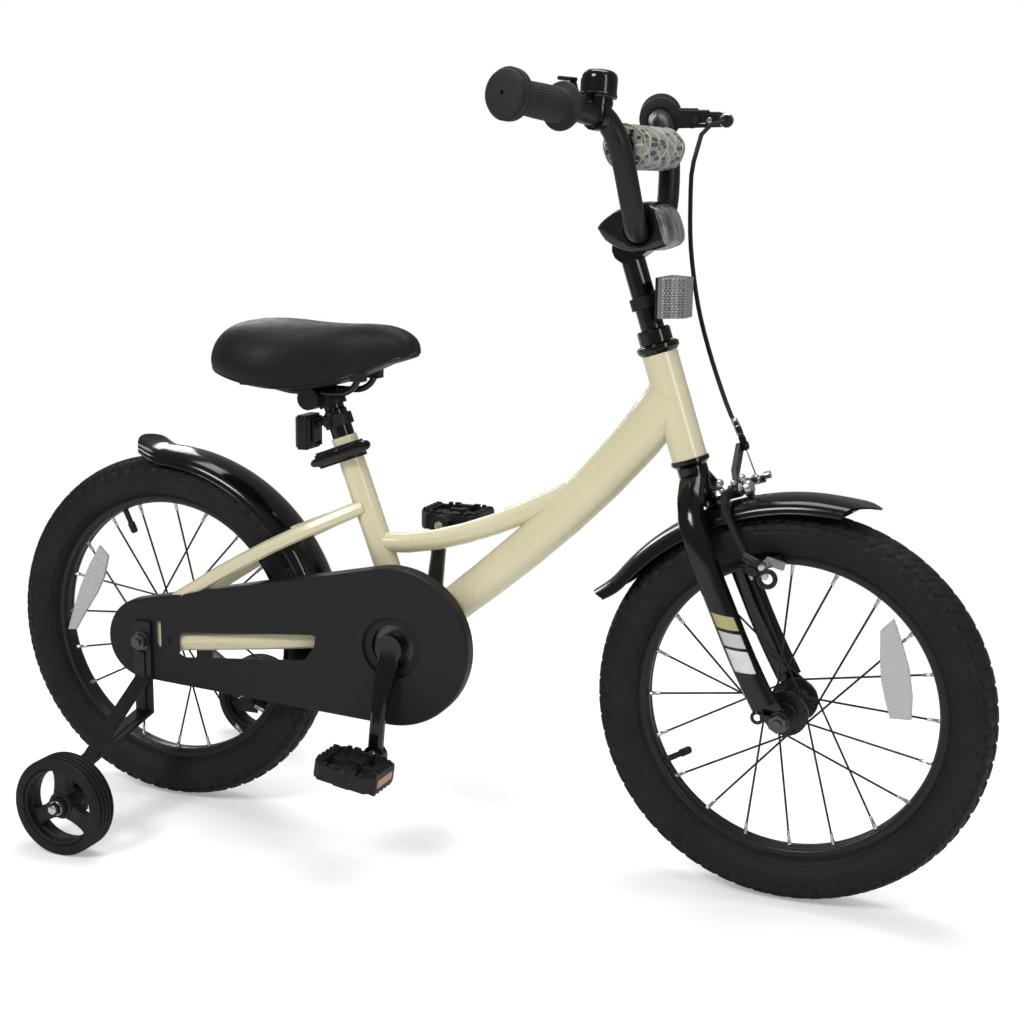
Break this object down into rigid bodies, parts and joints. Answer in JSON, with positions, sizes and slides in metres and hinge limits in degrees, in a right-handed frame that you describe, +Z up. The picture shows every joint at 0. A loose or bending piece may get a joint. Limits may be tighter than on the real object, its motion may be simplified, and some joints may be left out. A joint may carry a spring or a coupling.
{
  "type": "kids bicycle with training wheels",
  "caption": "Small kids bicycle with a step-low curved frame, full chain guard, mudguards, pads on the handlebar, a front rim brake and training wheels at the rear.",
  "frame": {"origin": "centre of the bounding box on the ground, midway between the two hubs", "axes": "X forward along the bicycle, Y to the left of the rider, Z up; the chain is on the side of negative Y"},
  "size_m": [1.1382, 0.4742, 0.8227],
  "materials": {
    "frame_paint": "gloss pale cream-yellow paint",
    "black_metal": "gloss and satin black paint",
    "dark_steel": "dark zinc-plated steel",
    "bright_steel": "zinc-plated or bare steel",
    "black_plastic": "satin black moulded plastic",
    "wheel_plastic": "black moulded plastic",
    "clear_plastic": "clear prismatic plastic",
    "red_plastic": "clear red plastic",
    "tyre": "black rubber with a block tread",
    "rubber": "matt black rubber",
    "saddle_cover": "matt black synthetic leather",
    "pad_cloth": "grey printed cloth"
  },
  "bodies": {
    "frame": {"frame": "frame_paint", "head_cup_upper": "black_metal", "head_cup_lower": "black_metal", "bracket_cup_left": "dark_steel", "bracket_cup_right": "dark_steel", "chain_guard": "black_plastic", "chain": "dark_steel", "rear_mudguard": "black_metal", "rear_brake_arm": "dark_steel", "rear_axle": "dark_steel", "training_bracket_left": "black_metal", "training_bracket_right": "black_metal", "seat_collar": "black_metal"},
    "rear_wheel": {"rear_tyre": "tyre", "rear_rim": "black_metal", "rear_hub": "black_metal", "rear_spoke_reflector": "clear_plastic"},
    "cog": {"rear_cog": "dark_steel"},
    "crank": {"crank": "black_metal", "chainring": "dark_steel", "pedal_spindle_left": "bright_steel", "pedal_spindle_right": "bright_steel"},
    "pedal_left": {"pedal_left": "wheel_plastic"},
    "pedal_right": {"pedal_right": "wheel_plastic"},
    "training_wheel_left": {"training_wheel_left": "wheel_plastic"},
    "training_wheel_right": {"training_wheel_right": "wheel_plastic"},
    "seat_lever": {"seat_lever": "black_metal"},
    "seat": {"seat_post": "black_metal", "saddle_clamp": "black_metal", "saddle_rails": "black_metal", "saddle_pan": "black_plastic", "saddle_cushion": "saddle_cover", "rear_reflector_housing": "black_plastic", "rear_reflector_lens": "red_plastic"},
    "steering": {"fork": "black_metal", "headset_nut": "black_metal", "stem": "black_metal", "handlebar": "black_metal", "grip_left": "rubber", "grip_right": "rubber", "crossbar_pad": "pad_cloth", "stem_pad": "saddle_cover", "front_mudguard": "black_metal", "front_reflector_bracket": "black_plastic", "front_reflector_lens": "clear_plastic", "bell_base": "black_metal", "bell_dome": "black_metal", "front_axle": "dark_steel", "brake_perch": "black_metal", "cable_housing": "rubber", "brake_wire": "bright_steel", "brake_bolt": "bright_steel"},
    "bell_lever": {"bell_lever": "black_plastic"},
    "brake_lever": {"brake_lever": "black_metal"},
    "caliper_stop_arm": {"caliper_stop_arm": "black_metal"},
    "caliper_anchor_arm": {"caliper_anchor_arm": "black_metal"},
    "front_wheel": {"front_tyre": "tyre", "front_rim": "black_metal", "front_hub": "black_metal", "front_spoke_reflector": "clear_plastic"}
  },
  "joints": [
    {"name": "steering", "type": "hinge", "parent": "frame", "child": "steering", "pos_m": [0.3352, 0, 0.19309], "axis": [-0.3156, 0, 0.9489], "range_deg": [-60, 60]},
    {"name": "front_wheel", "type": "hinge", "parent": "steering", "child": "front_wheel", "pos_m": [0.365, 0, 0.203], "axis": [0, 1, 0], "continuous": true},
    {"name": "rear_wheel", "type": "hinge", "parent": "frame", "child": "rear_wheel", "pos_m": [-0.365, 0, 0.203], "axis": [0, 1, 0], "continuous": true},
    {"name": "crank", "type": "hinge", "parent": "frame", "child": "crank", "pos_m": [-0.05982, 0, 0.226], "axis": [0, 1, 0], "continuous": true, "deforming": ["chain"]},
    {"name": "rear_cog", "type": "hinge", "parent": "frame", "child": "cog", "pos_m": [-0.365, 0, 0.203], "axis": [0, 1, 0], "continuous": true},
    {"name": "pedal_left", "type": "hinge", "parent": "crank", "child": "pedal_left", "pos_m": [-0.05306, 0.1113, 0.3398], "axis": [0, 1, 0], "continuous": true},
    {"name": "pedal_right", "type": "hinge", "parent": "crank", "child": "pedal_right", "pos_m": [-0.06658, -0.1243, 0.1122], "axis": [0, 1, 0], "continuous": true},
    {"name": "training_wheel_left", "type": "hinge", "parent": "frame", "child": "training_wheel_left", "pos_m": [-0.376, 0.205, 0.0545], "axis": [0, 1, 0], "continuous": true},
    {"name": "training_wheel_right", "type": "hinge", "parent": "frame", "child": "training_wheel_right", "pos_m": [-0.376, -0.205, 0.0545], "axis": [0, 1, 0], "continuous": true},
    {"name": "seat_height", "type": "slide", "parent": "frame", "child": "seat", "axis": [-0.3502, 0, 0.9367], "range_m": [-0.008, 0.06]},
    {"name": "seat_lever", "type": "hinge", "parent": "frame", "child": "seat_lever", "pos_m": [-0.16228, -0.021, 0.41723], "axis": [-0.3502, 0, 0.9367], "range_deg": [-95, 0]},
    {"name": "brake_lever", "type": "hinge", "parent": "steering", "child": "brake_lever", "pos_m": [0.19702, 0.15354, 0.78634], "axis": [0.026, -0.0882, 0.9958], "range_deg": [0, 11], "stiffness_Nm_per_rad": 0.6, "springref_deg": -20.05, "deforming": ["brake_wire", "cable_housing"]},
    {"name": "caliper_anchor_arm", "type": "hinge", "parent": "steering", "child": "caliper_anchor_arm", "pos_m": [0.29518, 0, 0.41795], "axis": [0.9489, 0, 0.3156], "range_deg": [0, 1.2]},
    {"name": "caliper_stop_arm", "type": "hinge", "parent": "steering", "child": "caliper_stop_arm", "pos_m": [0.30088, 0, 0.41985], "axis": [0.9489, 0, 0.3156], "range_deg": [-1.2, 0]},
    {"name": "bell_lever", "type": "hinge", "parent": "steering", "child": "bell_lever", "pos_m": [0.16754, -0.09622, 0.79652], "axis": [0.0335, 0.0831, 0.996], "range_deg": [0, 25], "stiffness_Nm_per_rad": 0.05, "springref_deg": -17.19}
  ],
  "couplings": [
    {"joint": "rear_cog", "follows": "crank", "ratio": 2.1333},
    {"joint": "caliper_anchor_arm", "follows": "brake_lever", "ratio": 0.109},
    {"joint": "caliper_stop_arm", "follows": "brake_lever", "ratio": -0.109}
  ]
}
